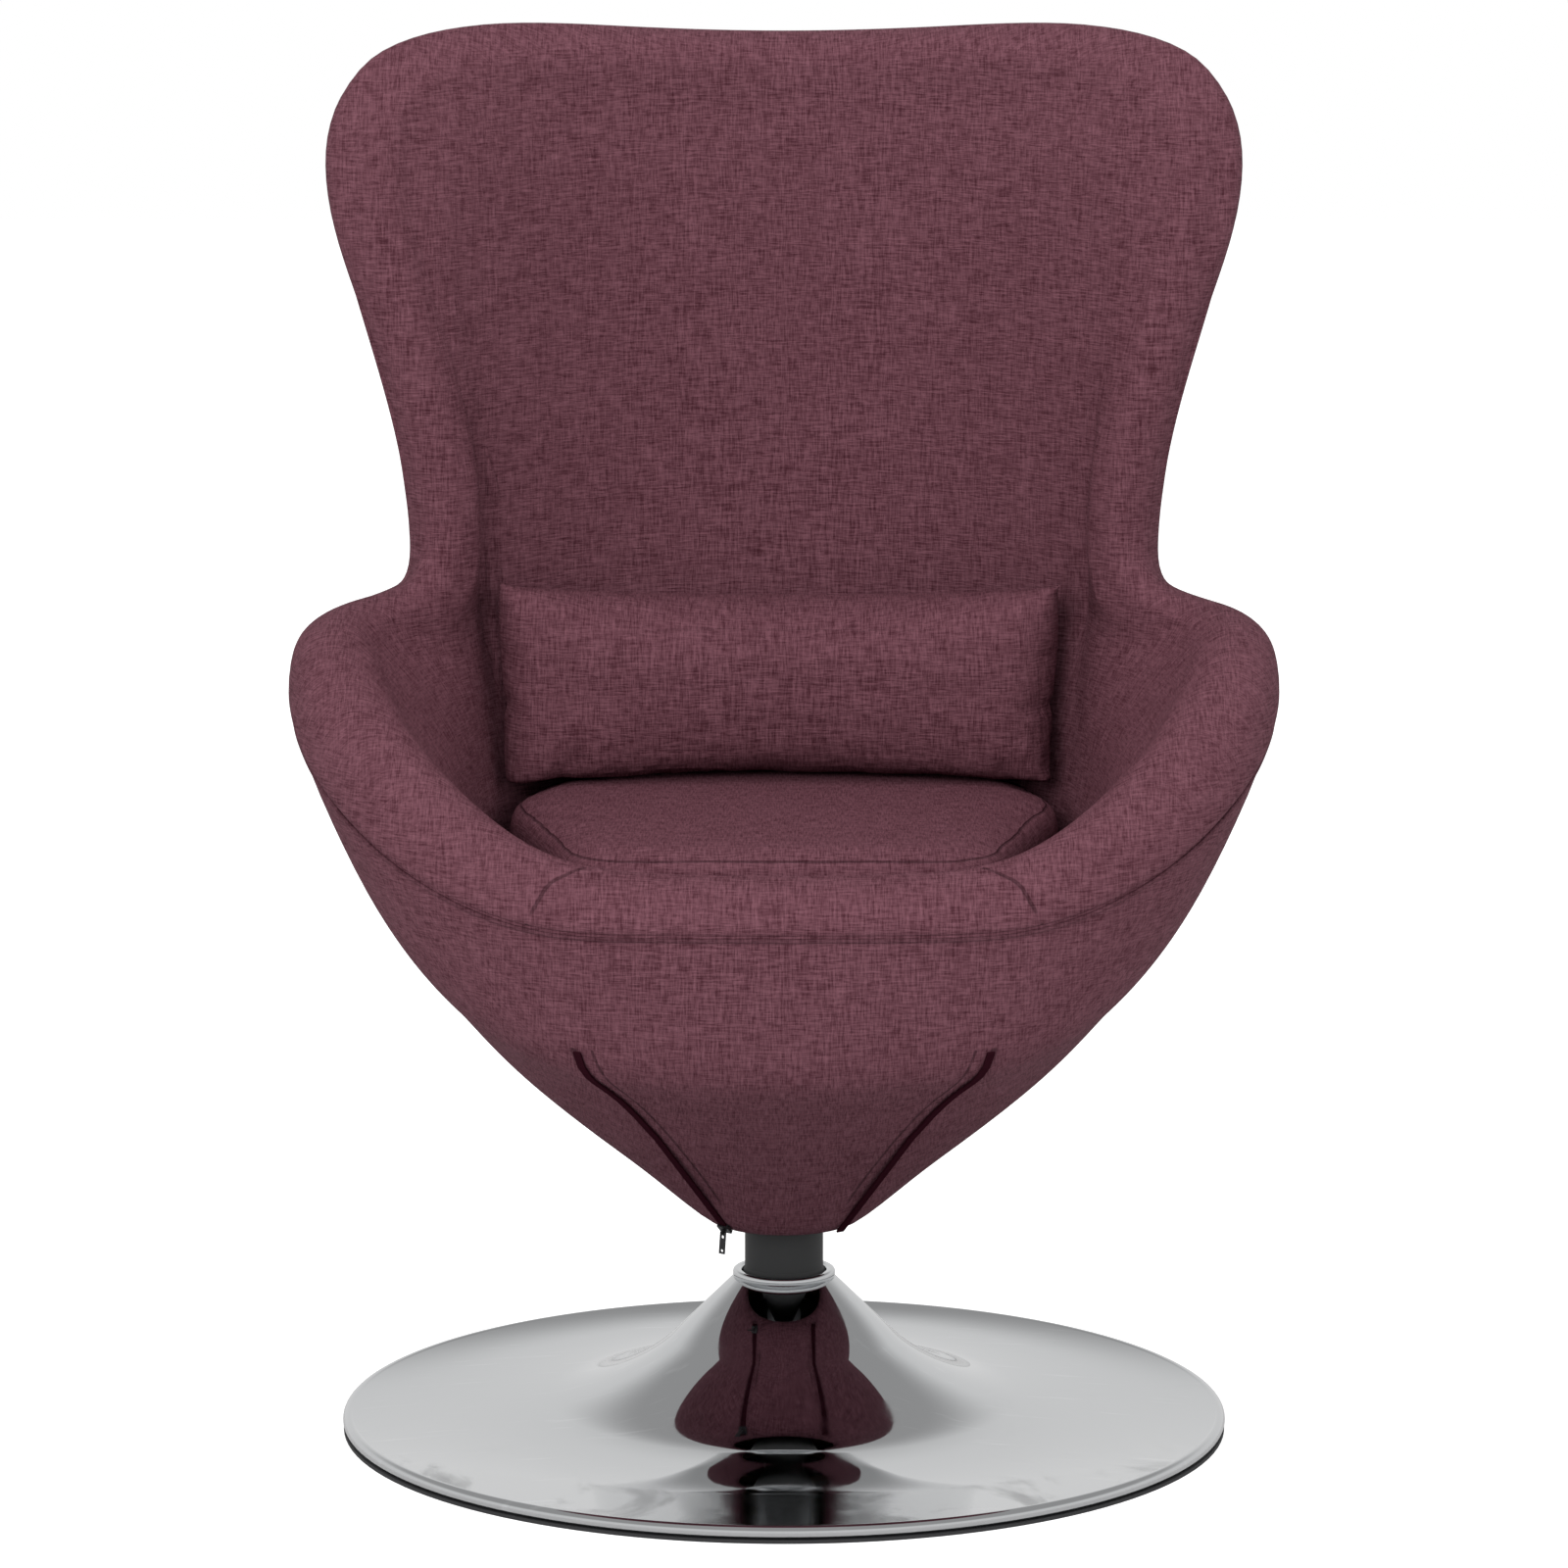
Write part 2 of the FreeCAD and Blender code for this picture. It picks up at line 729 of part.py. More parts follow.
def pillow_row(share):
    """Oval section of the pillow at a share of its half width, from -1 to 1, square to its bend."""
    swell = math.sqrt(max(0.0, 1 - abs(share) ** 2.6))
    half = (pillow_end_thickness + (pillow_thickness - pillow_end_thickness) * swell) / 2
    high = pillow_height / 2 - pillow_draw * (1 - share * share)
    turn = math.atan(4 * pillow_bend * share / pillow_width)
    lean = math.radians(pillow_lean)
    middle = cushion_foot + cushion_thickness + pillow_middle_rise
    row = []
    for i in range(pillow_facets):
        angle = 2 * math.pi * i / pillow_facets
        out = half * math.copysign(abs(math.cos(angle)) ** pillow_roundness, math.cos(angle))
        up = high * math.copysign(abs(math.sin(angle)) ** pillow_roundness, math.sin(angle))
        behind = out * math.cos(lean) + up * math.sin(lean)
        row.append(V(pillow_centre[0] + pillow_width / 2 * share + behind * math.sin(turn),
                     pillow_centre[1] - pillow_bend * share * share + behind * math.cos(turn),
                     middle + up * math.cos(lean) - out * math.sin(lean)))
    return row


def make_lumbar_pillow():
    """Plump pillow, bent to the curve of the back and leaning on it."""
    shares = [math.sin(math.radians(angle)) for angle in steps(pillow_sections, -90, 90)]
    return faceted([pillow_row(share) for share in shares], False)


def placed(shape, placement):
    return shape.transformGeometry(placement.toMatrix())


def left_hand(shape):
    return shape.mirror(V(0, 0, 0), V(1, 0, 0))


cover_line = surface_through(shell_hoops)
zip_line = surface_through(shell_hoops, -zip_rise)


def zip_frame(station, level, along):
    """Placement on the zip at a place on the cover: X across it, Y up along it, Z off the cover."""
    away = zip_line(station, level) - cover_line(station, level)
    across = along.cross(away).normalize()
    return FreeCAD.Placement(zip_line(station, level), FreeCAD.Rotation(across, along, away, "XYZ"))


zip_run = zip_line(*zip_straight[1]) - zip_line(*zip_straight[0])
zip_foot = FreeCAD.Placement(
    zip_line(*zip_straight[0]), zip_frame(*zip_straight[1], zip_run).Rotation)


def make_zip_chain():
    """Row of zip teeth on the right: straight from the hem, then bent over the belly of the cover."""
    half = zip_chain_width / 2
    frames = [zip_foot, FreeCAD.Placement(zip_foot.Base + zip_run, zip_foot.Rotation)]
    before = zip_line(*zip_straight[1])
    for (station, level), (next_station, next_level) in zip(zip_bend, zip_bend[1:]):
        for share in steps(zip_bend_facets)[1:]:
            place = (station + (next_station - station) * share, level + (next_level - level) * share)
            here = zip_line(*place)
            frames.append(zip_frame(*place, here - before))
            before = here
    top = zip_chain_thickness
    corners = [V(-half, 0, 0), V(half, 0, 0), V(half, 0, top), V(-half, 0, top)]
    return faceted([[frame.multVec(corner) for corner in corners] for frame in frames], False)


slider_inner = zip_chain_width / 2 + slider_clearance
slider_ceiling = zip_chain_thickness + slider_clearance
slider_top = slider_ceiling + slider_wall
pin_rise = slider_top + bridge_height - 2 * pin_radius - slider_clearance
slider_place = FreeCAD.Placement(
    zip_foot.multVec(V(0, slider_start + slider_length / 2, 0)), zip_foot.Rotation)


def make_zip_slider():
    """Slider that straddles the teeth, with a bridge that holds the pin of its pull."""
    outer = slider_inner + slider_wall
    half = slider_length / 2
    body = Part.makeBox(2 * outer, slider_length, slider_top - seat_gap, V(-outer, -half, seat_gap))
    body = body.cut(Part.makeBox(
        2 * slider_inner, slider_length, slider_ceiling, V(-slider_inner, -half, 0)))
    bridge = Part.makeBox(
        slider_wall, bridge_length, bridge_height, V(-slider_wall / 2, -bridge_length / 2, slider_top))
    eye = Part.makeCylinder(
        pin_radius + 2 * running_fit, slider_wall, V(-slider_wall / 2, 0, pin_rise), V(1, 0, 0))
    return placed(body.fuse(bridge.cut(eye)), slider_place)


def make_zip_pull():
    """Pull that hangs straight down from its pin: a tab with a window at the top and a hole below."""
    half = pull_width / 2
    back = -pull_thickness / 2
    tab = Part.makeBox(pull_width, pull_length, pull_thickness, V(-half, -pull_length, back))
    window_half = slider_wall / 2 + slider_clearance
    window = Part.makeBox(
        2 * window_half, pull_window, pull_thickness, V(-window_half, -pull_window, back))
    hole = Part.makeCylinder(pull_hole_radius, pull_thickness, V(0, half - pull_length, back))
    pin = Part.makeCylinder(pin_radius, pull_width, V(-half, 0, 0), V(1, 0, 0))
    pull = tab.cut(window).cut(hole).fuse(pin)
    across = slider_place.Rotation.multVec(V(1, 0, 0))
    turn = FreeCAD.Rotation(across, UP, across.cross(UP), "XYZ")
    return placed(pull, FreeCAD.Placement(slider_place.multVec(V(0, 0, pin_rise)), turn))


parts = {
    "base_disc": make_base_disc(),
    "floor_ring": make_floor_ring(),
    "collar_ring": make_collar_ring(),
    "ballast_plate": make_ballast_plate(),
    "column_tube": make_column_tube(),
    "lower_bush": make_lower_bush(),
    "upper_bush": make_upper_bush(),
    "thrust_washer": make_thrust_washer(),
    "spindle": make_spindle(),
    "circlip": make_circlip(),
    "column_sleeve": make_column_sleeve(),
    "seat_plate": make_seat_plate(),
    "plate_bolts": make_plate_bolts(),
    "plate_washers": make_plate_washers(),
    "cross_rails": make_cross_rails(),
    "tee_nuts": make_tee_nuts(),
    "seat_board": make_seat_board(),
    "seat_ring": make_seat_ring(),
    "rim_bar": make_rim_bar(),
    "outer_cover": make_outer_cover(),
    "inner_pad": make_inner_pad(),
    "seat_cushion": make_seat_cushion(),
    "lumbar_pillow": make_lumbar_pillow(),
    "zip_chain_right": make_zip_chain(),
    "zip_chain_left": left_hand(make_zip_chain()),
    "zip_slider": left_hand(make_zip_slider()),
    "zip_pull": left_hand(make_zip_pull())}

parts["frame_ribs"] = make_ribs(parts["rim_bar"])
parts["back_rails"] = make_back_rails(parts["frame_ribs"])

os.makedirs("parts", exist_ok=True)
for name, shape in parts.items():
    shape.exportStep("parts/" + name + ".step")
    print(name, shape.isValid(), len(shape.Solids), round(shape.Volume), shape.BoundBox)
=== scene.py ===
import math

import bmesh
import bpy
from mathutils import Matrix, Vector, noise


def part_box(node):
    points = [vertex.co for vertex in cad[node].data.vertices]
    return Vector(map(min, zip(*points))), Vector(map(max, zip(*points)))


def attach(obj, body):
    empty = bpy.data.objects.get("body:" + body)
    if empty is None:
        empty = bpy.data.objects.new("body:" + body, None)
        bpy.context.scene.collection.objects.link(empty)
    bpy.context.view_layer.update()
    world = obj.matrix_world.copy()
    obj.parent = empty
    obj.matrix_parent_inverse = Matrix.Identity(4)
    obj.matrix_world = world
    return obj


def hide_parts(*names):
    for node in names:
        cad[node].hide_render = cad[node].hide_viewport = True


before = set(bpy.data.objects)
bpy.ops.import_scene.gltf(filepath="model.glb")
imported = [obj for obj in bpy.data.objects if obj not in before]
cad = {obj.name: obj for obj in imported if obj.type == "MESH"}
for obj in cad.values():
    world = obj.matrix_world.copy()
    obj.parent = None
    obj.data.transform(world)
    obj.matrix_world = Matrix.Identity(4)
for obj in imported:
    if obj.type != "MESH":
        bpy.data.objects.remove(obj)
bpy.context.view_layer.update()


# Studio: a pale floor, plain soft light from the front left, and the camera of the photograph, which stands
# five metres in front of the chair and looks down on it a little.
studio = bpy.context.scene
studio.view_settings.view_transform = "Standard"


def new_material(name, colour, roughness, metallic=0.0):
    """A material with its Principled shader, ready for the nodes of its finish."""
    material = bpy.data.materials.new(name)
    material.use_nodes = True
    shader = material.node_tree.nodes["Principled BSDF"]
    shader.inputs["Base Color"].default_value = (*colour, 1.0)
    shader.inputs["Roughness"].default_value = roughness
    shader.inputs["Metallic"].default_value = metallic
    return material, material.node_tree, shader


def node(tree, kind, **values):
    """A node with its settings and unlinked inputs given by name; an underscore stands for a space."""
    made = tree.nodes.new(kind)
    for key, value in values.items():
        if hasattr(made, key):
            setattr(made, key, value)
        else:
            made.inputs[key.replace("_", " ")].default_value = value
    return made


def link(tree, source, target):
    """Joins an output socket to an input socket."""
    tree.links.new(source, target)


def sums(tree, operation, first, second=None, third=None):
    """A maths node whose inputs are sockets or plain numbers."""
    made = tree.nodes.new("ShaderNodeMath")
    made.operation = operation
    for place, value in enumerate((first, second, third)):
        if value is None:
            continue
        if isinstance(value, (int, float)):
            made.inputs[place].default_value = value
        else:
            link(tree, value, made.inputs[place])
    return made.outputs[0]


floor_half = 12.0
floor_glow = 0.75
floor_in_chrome = 0.05
room_light = 0.70
lowest_wall = 0.78
highest_wall = 0.4
floor_mesh = bmesh.new()
bmesh.ops.create_grid(floor_mesh, x_segments=1, y_segments=1, size=floor_half)
floor_data = bpy.data.meshes.new("studio_floor")
floor_mesh.to_mesh(floor_data)
floor_mesh.free()
floor = bpy.data.objects.new("studio_floor", floor_data)
studio.collection.objects.link(floor)
floor_paint, tree, shader = new_material("floor_paint", (0.70, 0.70, 0.70), 0.9)
shader.inputs["Specular IOR Level"].default_value = 0.0
rays = node(tree, "ShaderNodeLightPath")
shown = sums(tree, "MULTIPLY", rays.outputs["Is Glossy Ray"], floor_in_chrome)
seen = sums(tree, "MAXIMUM", rays.outputs["Is Camera Ray"], shown)
glow = sums(tree, "MULTIPLY", seen, floor_glow)
shader.inputs["Emission Color"].default_value = (1, 1, 1, 1)
link(tree, glow, shader.inputs["Emission Strength"])
floor_data.materials.append(floor_paint)

room = bpy.data.worlds.new("studio_room")
room.use_nodes = True
studio.world = room
tree = room.node_tree
sky = tree.nodes["Background"]
rays = node(tree, "ShaderNodeLightPath")
heading = node(tree, "ShaderNodeTexCoord")
parts = node(tree, "ShaderNodeSeparateXYZ")
link(tree, heading.outputs["Generated"], parts.inputs[0])
walls = node(tree, "ShaderNodeMapRange", interpolation_type="SMOOTHSTEP", From_Min=0.3, From_Max=0.62,
             To_Min=lowest_wall, To_Max=highest_wall)
link(tree, parts.outputs["Z"], walls.inputs["Value"])
soft = sums(tree, "MULTIPLY", rays.outputs["Is Diffuse Ray"], room_light)
shiny = sums(tree, "MULTIPLY", rays.outputs["Is Glossy Ray"], walls.outputs["Result"])
both = sums(tree, "ADD", soft, shiny)
strength = sums(tree, "ADD", both, rays.outputs["Is Camera Ray"])
sky.inputs["Color"].default_value = (1, 1, 1, 1)
link(tree, strength, sky.inputs["Strength"])


def add_lamp(name, place, size, watts):
    """A square soft box that faces the middle of the chair and doesn't show in the chrome."""
    data = bpy.data.lights.new(name, "AREA")
    data.shape = "SQUARE"
    data.size = size
    data.energy = watts
    lamp = bpy.data.objects.new(name, data)
    lamp.location = place
    lamp.rotation_euler = (chair_middle - Vector(place)).to_track_quat("-Z", "Y").to_euler()
    lamp.visible_glossy = False
    studio.collection.objects.link(lamp)


chair_middle = Vector((0, 0, 0.6))
add_lamp("key_lamp", (-1.6, -3.6, 2.3), 2.2, 82)
add_lamp("fill_lamp", (2.6, -2.6, 1.6), 2.0, 22)
add_lamp("top_lamp", (0.0, 0.3, 3.6), 2.0, 26)

camera_distance = 5.0
camera_height = 1.353
camera_tilt = math.radians(9.53)
lens = bpy.data.cameras.new("photo_camera")
lens.sensor_width = 36.0
lens.lens = 148.75
lens.clip_end = 60.0
camera = bpy.data.objects.new("photo_camera", lens)
camera.location = (0.0, -camera_distance, camera_height)
camera.rotation_euler = (math.pi / 2 - camera_tilt, 0.0, 0.0)
studio.collection.objects.link(camera)
studio.camera = camera


# Chrome base: a spun steel disc that runs up into a trumpet round the column, with a rolled bead at its
# edge. It is polished and chrome plated, with the faint smears and fine marks of a used floor stand.
def finish_mesh(bm, name, material):
    """Closes off a bmesh as a new smooth piece at the origin."""
    bmesh.ops.remove_doubles(bm, verts=bm.verts, dist=0.00001)
    bmesh.ops.recalc_face_normals(bm, faces=bm.faces)
    data = bpy.data.meshes.new(name)
    bm.to_mesh(data)
    bm.free()
    data.shade_smooth()
    data.materials.append(material)
    piece = bpy.data.objects.new(name, data)
    studio.collection.objects.link(piece)
    return piece


def outline_of(bm, corners):
    """A closed wire in the X-Z plane; returns its vertices in order."""
    verts = [bm.verts.new((r, 0, z)) for r, z in corners]
    for here, following in zip(verts, verts[1:] + verts[:1]):
        bm.edges.new((here, following))
    return verts


def round_corner(bm, vert, reach, segments):
    """Rounds one corner of a wire."""
    bmesh.ops.bevel(bm, geom=[vert], offset=reach, offset_type="OFFSET", segments=segments, profile=0.5,
                    affect="VERTICES", material=-1)


def turn_round(bm, steps):
    """Spins a wire all the way round the column."""
    bmesh.ops.spin(bm, geom=bm.verts[:] + bm.edges[:], cent=(0, 0, 0), axis=(0, 0, 1), angle=2 * math.pi,
                   steps=steps, use_merge=True, use_duplicate=False)


chrome, tree, shader = new_material("polished_chrome", (0.62, 0.63, 0.64), 0.045, 1.0)
spots = node(tree, "ShaderNodeTexCoord")
smear = node(tree, "ShaderNodeTexNoise", Scale=9.0, Detail=5.0, Roughness=0.6, Distortion=1.4)
link(tree, spots.outputs["Object"], smear.inputs["Vector"])
haze = node(tree, "ShaderNodeMapRange", From_Min=0.5, From_Max=0.75, To_Min=0.035, To_Max=0.16)
link(tree, smear.outputs["Fac"], haze.inputs["Value"])
link(tree, haze.outputs["Result"], shader.inputs["Roughness"])
scratch = node(tree, "ShaderNodeTexNoise", Scale=60.0, Detail=3.0)
stretch = node(tree, "ShaderNodeMapping")
stretch.inputs["Scale"].default_value = (0.25, 2.0, 1.0)
stretch.inputs["Rotation"].default_value = (0, 0, 0.6)
link(tree, spots.outputs["Object"], stretch.inputs["Vector"])
link(tree, stretch.outputs["Vector"], scratch.inputs["Vector"])
marks = node(tree, "ShaderNodeMapRange", From_Min=0.62, From_Max=0.8, To_Min=0.0, To_Max=1.0)
link(tree, scratch.outputs["Fac"], marks.inputs["Value"])
plate = node(tree, "ShaderNodeMix", data_type="RGBA")
plate.inputs["A"].default_value = (0.62, 0.63, 0.64, 1)
plate.inputs["B"].default_value = (0.70, 0.71, 0.72, 1)
link(tree, marks.outputs["Result"], plate.inputs["Factor"])
link(tree, plate.outputs["Result"], shader.inputs["Base Color"])

bead_middle = 0.345
bead_rise = 0.008
bead_size = 0.005
bead_start = math.radians(127)
bead_turn = math.radians(327)
trumpet_bend = 0.058
bend_steps = 14
bm = bmesh.new()
bead_first = bm.verts.new((bead_middle + bead_size * math.cos(bead_start), 0,
                           bead_rise + bead_size * math.sin(bead_start)))
rolled = bmesh.ops.spin(bm, geom=[bead_first], cent=(bead_middle, 0, bead_rise), axis=(0, 1, 0),
                        angle=bead_turn, steps=26, use_duplicate=False)
bead_last = [v for v in rolled["geom_last"] if isinstance(v, bmesh.types.BMVert)][0]
upper = [(0.1309, 0.0281), (0.0395, 0.1195), (0.0253, 0.1195)]
lower = [(0.0253, 0.117), (0.0384, 0.117), (0.1299, 0.0256)]
ring = [bead_first] + [bm.verts.new((r, 0, z)) for r, z in upper + lower] + [bead_last]
for here, following in zip(ring, ring[1:]):
    bm.edges.new((here, following))
for corner in (ring[1], ring[6]):
    round_corner(bm, corner, trumpet_bend, bend_steps)
turn_round(bm, 180)
base = finish_mesh(bm, "chrome_base", chrome)
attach(base, "base")
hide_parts("base_disc")


# Trim ring: a round-topped ring that lies on the trumpet and guards the foot of the sleeve. It is turned from
# steel, chrome plated like the base, and held by the sleeve's flare.
trim_inner, trim_outer = 0.0331, 0.0405
trim_foot, trim_top = 0.1195, 0.1255
trim_round = 0.0029
bm = bmesh.new()
ring = outline_of(bm, [(trim_inner, trim_foot), (trim_outer, trim_foot),
                       (trim_outer, trim_top), (trim_inner, trim_top)])
for corner in ring[2:]:
    round_corner(bm, corner, trim_round, 7)
turn_round(bm, 128)
trim_ring = finish_mesh(bm, "chrome_trim_ring", chrome)
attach(trim_ring, "base")
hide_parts("collar_ring")


# Parts of the base and column that are turned, moulded or cast: rubber foot ring, painted cast ballast,
# steel tube and spindle, nylon bushes and washer, spring steel circlip, and the black sleeve outside. They
# stack on the column, and the bushes are pressed into its tube.
def grained(name, colour, roughness, metallic, scale, depth, spread=0.25):
    """A plain finish with a grain in its colour, gloss and surface."""
    material, tree, shader = new_material(name, colour, roughness, metallic)
    spots = node(tree, "ShaderNodeTexCoord")
    grain = node(tree, "ShaderNodeTexNoise", Scale=scale, Detail=4.0, Roughness=0.6)
    link(tree, spots.outputs["Object"], grain.inputs["Vector"])
    shade = node(tree, "ShaderNodeMix", data_type="RGBA")
    shade.inputs["A"].default_value = (*[c * (1 - spread) for c in colour], 1)
    shade.inputs["B"].default_value = (*[min(1.0, c * (1 + spread)) for c in colour], 1)
    link(tree, grain.outputs["Fac"], shade.inputs["Factor"])
    link(tree, shade.outputs["Result"], shader.inputs["Base Color"])
    gloss = node(tree, "ShaderNodeMapRange", To_Min=roughness * 0.8, To_Max=min(1.0, roughness * 1.2))
    link(tree, grain.outputs["Fac"], gloss.inputs["Value"])
    link(tree, gloss.outputs["Result"], shader.inputs["Roughness"])
    bump = node(tree, "ShaderNodeBump", Strength=0.4, Distance=depth)
    link(tree, grain.outputs["Fac"], bump.inputs["Height"])
    link(tree, bump.outputs["Normal"], shader.inputs["Normal"])
    return material


def dress(names, material):
    """Gives CAD nodes that keep their shape a better material."""
    for name in names:
        cad[name].data.materials.clear()
        cad[name].data.materials.append(material)


dress(["floor_ring"], grained("foot_rubber", (0.03, 0.03, 0.032), 0.7, 0.0, 900, 0.0002))
dress(["column_sleeve"], grained("sleeve_plastic", (0.02, 0.0205, 0.021), 0.6, 0.0, 1400, 0.0001))
dress(["ballast_plate"], grained("ballast_paint", (0.07, 0.07, 0.07), 0.6, 0.0, 300, 0.0008))
dress(["column_tube", "spindle"], grained("turned_steel", (0.52, 0.52, 0.53), 0.3, 1.0, 700, 0.0001, 0.1))
dress(["lower_bush", "upper_bush", "thrust_washer"],
      grained("bush_nylon", (0.75, 0.74, 0.7), 0.45, 0.0, 500, 0.0001, 0.06))
dress(["circlip"], grained("spring_black", (0.16, 0.16, 0.17), 0.35, 1.0, 800, 0.0001))


# Seat plate, its bolts, washers and tee nuts, the welded bars of the frame, and the plywood board: all
# hidden by the upholstery. The steel is powder coated black, the fasteners are zinc plated, and the board is
# raw birch.
dress(["seat_plate", "seat_ring", "cross_rails", "rim_bar", "frame_ribs", "back_rails"],
      grained("powder_black", (0.035, 0.035, 0.036), 0.5, 0.0, 1100, 0.0002))
dress(["plate_bolts", "plate_washers", "tee_nuts"],
      grained("zinc_plate", (0.62, 0.63, 0.66), 0.32, 1.0, 600, 0.0001, 0.12))

birch, tree, shader = new_material("birch_board", (0.5, 0.35, 0.2), 0.65)
spots = node(tree, "ShaderNodeTexCoord")
stretch = node(tree, "ShaderNodeMapping")
stretch.inputs["Scale"].default_value = (3.0, 60.0, 300.0)
link(tree, spots.outputs["Object"], stretch.inputs["Vector"])
figure = node(tree, "ShaderNodeTexNoise", Scale=2.0, Detail=6.0, Distortion=0.8)
link(tree, stretch.outputs["Vector"], figure.inputs["Vector"])
veneer = node(tree, "ShaderNodeMix", data_type="RGBA")
veneer.inputs["A"].default_value = (0.38, 0.24, 0.12, 1)
veneer.inputs["B"].default_value = (0.60, 0.44, 0.27, 1)
link(tree, figure.outputs["Fac"], veneer.inputs["Factor"])
link(tree, veneer.outputs["Result"], shader.inputs["Base Color"])
dress(["seat_board"], birch)


# Outer cover: woven upholstery over thin foam on the outside of the shell, drawn in round the column at the
# hem and sewn to the inner lining along the rim. A hidden zip runs up each side of its lower front.
def weave_group():
    """Melange of uneven warp and weft threads, worked out from the place and the way the cloth faces."""
    group = bpy.data.node_groups.new("melange_weave", "ShaderNodeTree")
    sockets = group.interface
    sockets.new_socket(name="Dark", in_out="INPUT", socket_type="NodeSocketColor")
    sockets.new_socket(name="Light", in_out="INPUT", socket_type="NodeSocketColor")
    sockets.new_socket(name="Across", in_out="INPUT", socket_type="NodeSocketFloat")
    sockets.new_socket(name="Along", in_out="INPUT", socket_type="NodeSocketFloat")
    sockets.new_socket(name="Color", in_out="OUTPUT", socket_type="NodeSocketColor")
    sockets.new_socket(name="Height", in_out="OUTPUT", socket_type="NodeSocketFloat")
    given = group.nodes.new("NodeGroupInput")
    result = group.nodes.new("NodeGroupOutput")
    spots = node(group, "ShaderNodeTexCoord")
    facing = node(group, "ShaderNodeSeparateXYZ")
    link(group, spots.outputs["Normal"], facing.inputs[0])
    coarse_share, fine_share, mottle_share = 1.5, 0.7, 0.15
    total = None
    fine_total = None
    for axis in range(3):
        pitch = group.nodes.new("ShaderNodeCombineXYZ")
        for other in range(3):
            link(group, given.outputs["Across" if other == axis else "Along"], pitch.inputs[other])
        scaled = node(group, "ShaderNodeVectorMath", operation="MULTIPLY")
        link(group, spots.outputs["Object"], scaled.inputs[0])
        link(group, pitch.outputs[0], scaled.inputs[1])
        threads = node(group, "ShaderNodeTexNoise", Scale=1.0, Detail=2.0, Roughness=0.55)
        link(group, scaled.outputs["Vector"], threads.inputs["Vector"])
        fine = node(group, "ShaderNodeTexNoise", Scale=2.6, Detail=1.0)
        link(group, scaled.outputs["Vector"], fine.inputs["Vector"])
        square = sums(group, "MULTIPLY", facing.outputs[axis], facing.outputs[axis])
        weight = sums(group, "SUBTRACT", 1.0, square)
        part = sums(group, "MULTIPLY", sums(group, "SUBTRACT", threads.outputs["Fac"], 0.5), weight)
        fine_part = sums(group, "MULTIPLY", sums(group, "SUBTRACT", fine.outputs["Fac"], 0.5), weight)
        total = part if total is None else sums(group, "ADD", total, part)
        fine_total = fine_part if fine_total is None else sums(group, "ADD", fine_total, fine_part)
    cloud = node(group, "ShaderNodeTexNoise", Scale=14.0, Detail=3.0)
    link(group, spots.outputs["Object"], cloud.inputs["Vector"])
    mottle = sums(group, "MULTIPLY", sums(group, "SUBTRACT", cloud.outputs["Fac"], 0.5), mottle_share)
    mixed = sums(group, "ADD", sums(group, "ADD", sums(group, "MULTIPLY", total, coarse_share),
                                    sums(group, "MULTIPLY", fine_total, fine_share)), mottle)
    share = sums(group, "ADD", mixed, 0.5)
    blend = node(group, "ShaderNodeMix", data_type="RGBA", clamp_factor=True)
    link(group, share, blend.inputs["Factor"])
    link(group, given.outputs["Dark"], blend.inputs["A"])
    link(group, given.outputs["Light"], blend.inputs["B"])
    link(group, blend.outputs["Result"], result.inputs["Color"])
    link(group, share, result.inputs["Height"])
    return group


weave = weave_group()
thread_width = 1 / 760
thread_length = 1 / 70
weave_depth = 0.0006
seam_depth = 0.0016
# How far the sewn lines are darkened with painted shade.
seam_painted_shade = 0.5


def groove(tree, distance, width):
    """A mask that is full on a sewn line and fades out over its width."""
    mask = node(tree, "ShaderNodeMapRange", interpolation_type="SMOOTHSTEP", From_Min=width * 0.15,
                From_Max=width, To_Min=1.0, To_Max=0.0)
    link(tree, distance, mask.inputs["Value"])
    return mask.outputs["Result"]


